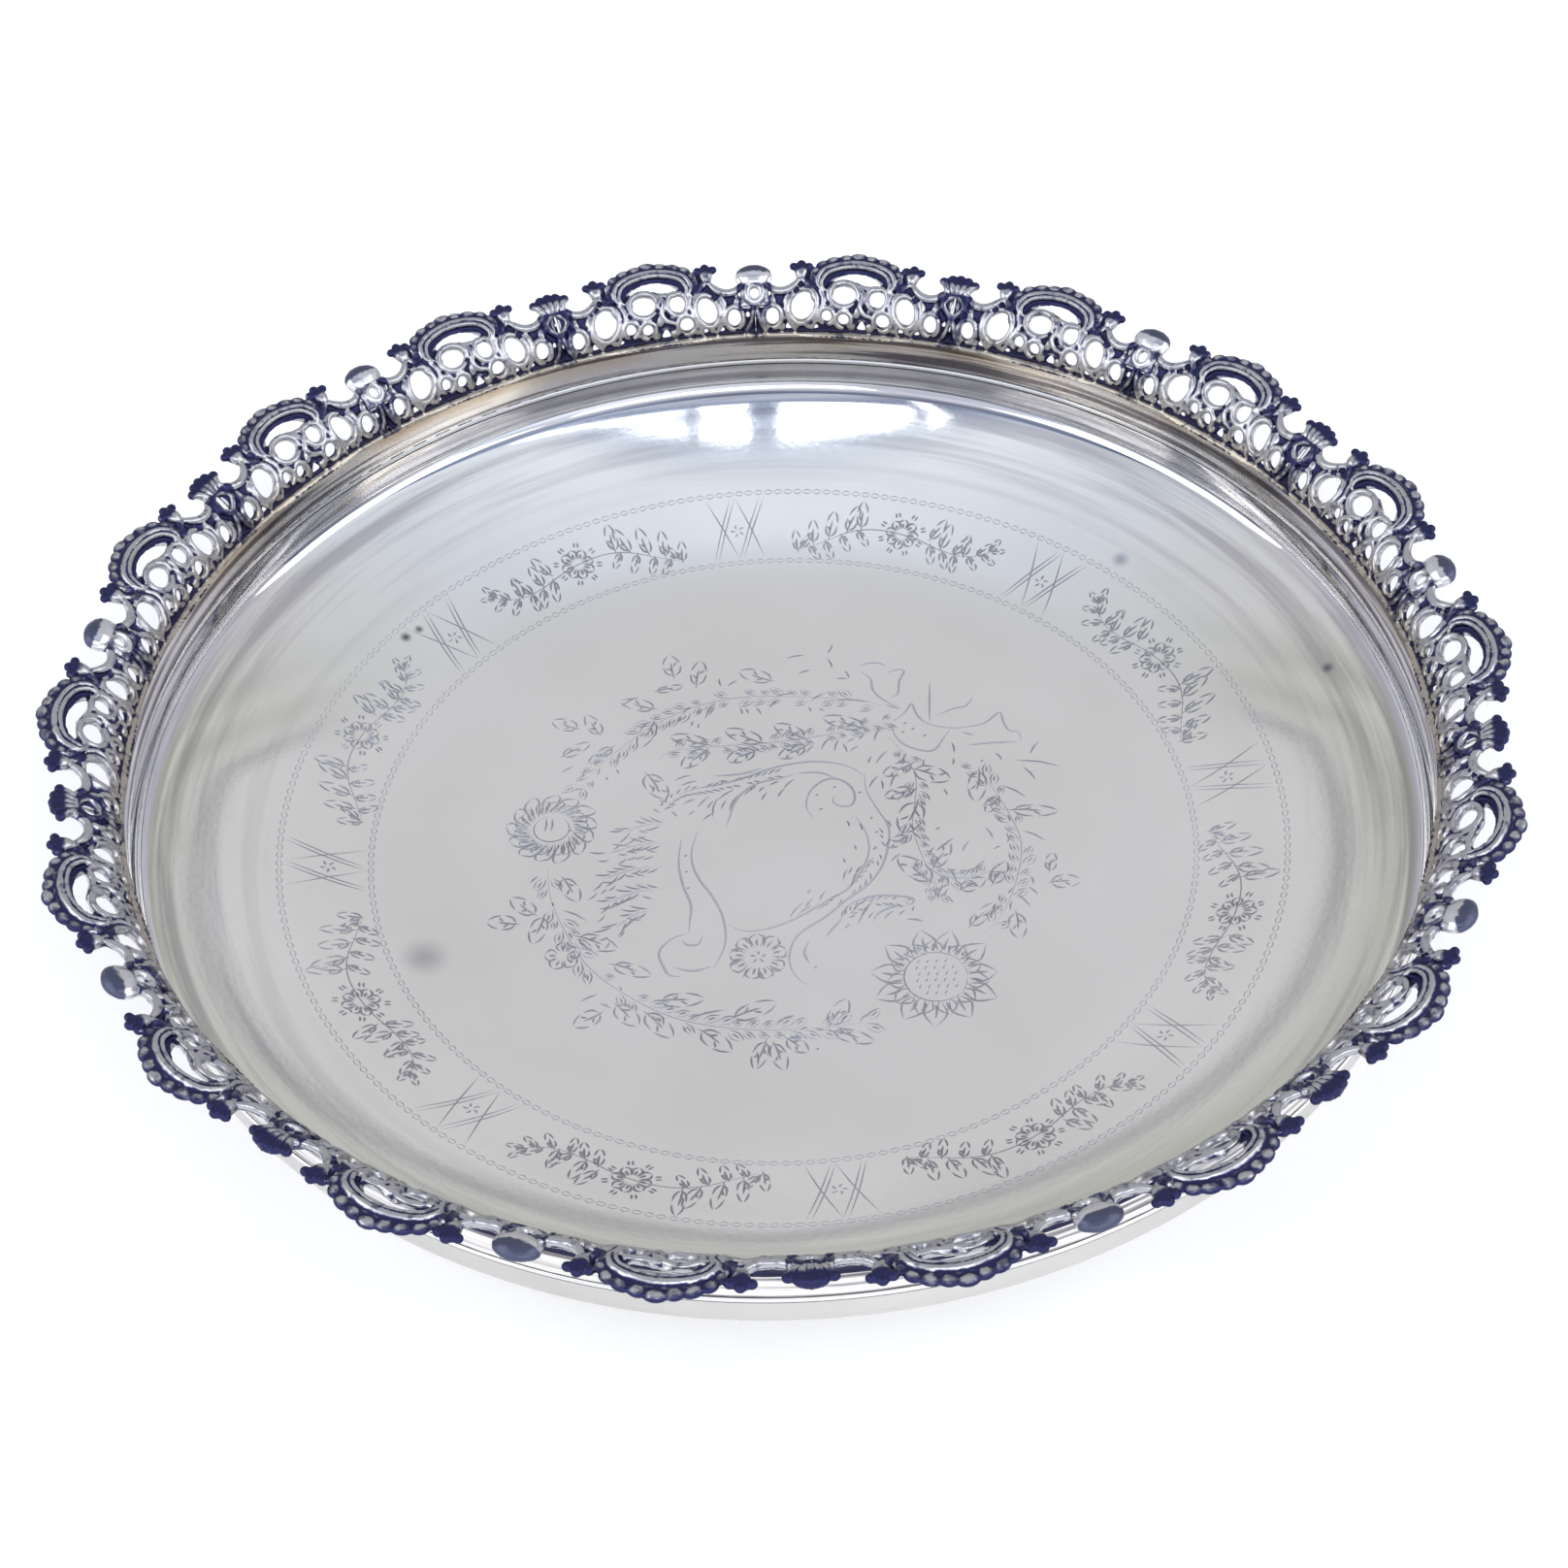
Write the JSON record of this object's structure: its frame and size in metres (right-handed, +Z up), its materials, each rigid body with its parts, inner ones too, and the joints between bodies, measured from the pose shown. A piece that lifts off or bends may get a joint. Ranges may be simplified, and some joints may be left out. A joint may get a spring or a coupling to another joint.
{
  "type": "silver salver with pierced gallery",
  "caption": "Round deep-sided silver tray for serving, with an engraved floor, a plain upright wall and a pierced cast scroll-and-shell gallery flaring out round its rim.",
  "frame": {"origin": "on the plane the tray rests on, under the middle of the tray", "axes": "+Z up along the tray's round axis, -Y towards the viewer, +X to the viewer's right"},
  "size_m": [0.321, 0.3176, 0.0535],
  "materials": {
    "satin_silver": "worn satin silver with engraving, softly streaked",
    "polished_silver": "polished silver with a warm tarnish towards the gallery",
    "cast_silver": "cast silver, bright on the high bands and oxidised dark in the recesses",
    "worn_silver": "greyer cast silver with soft detail and yellow-brown solder stain at the foot"
  },
  "bodies": {
    "root": {"dish": "satin_silver", "seam_wire": "polished_silver", "gallery_collar": "polished_silver", "gallery_section_1": "cast_silver", "gallery_section_2": "cast_silver", "gallery_section_3": "cast_silver", "gallery_section_4": "cast_silver", "gallery_section_5": "cast_silver", "gallery_section_6": "cast_silver", "gallery_section_7": "cast_silver", "gallery_section_8": "cast_silver", "gallery_section_9": "cast_silver", "joint_finial_1": "worn_silver", "joint_finial_2": "worn_silver", "joint_finial_3": "worn_silver", "joint_finial_4": "worn_silver", "joint_finial_5": "worn_silver", "joint_finial_6": "worn_silver", "joint_finial_7": "worn_silver", "joint_finial_8": "worn_silver", "joint_finial_9": "worn_silver"}
  },
  "joints": []
}
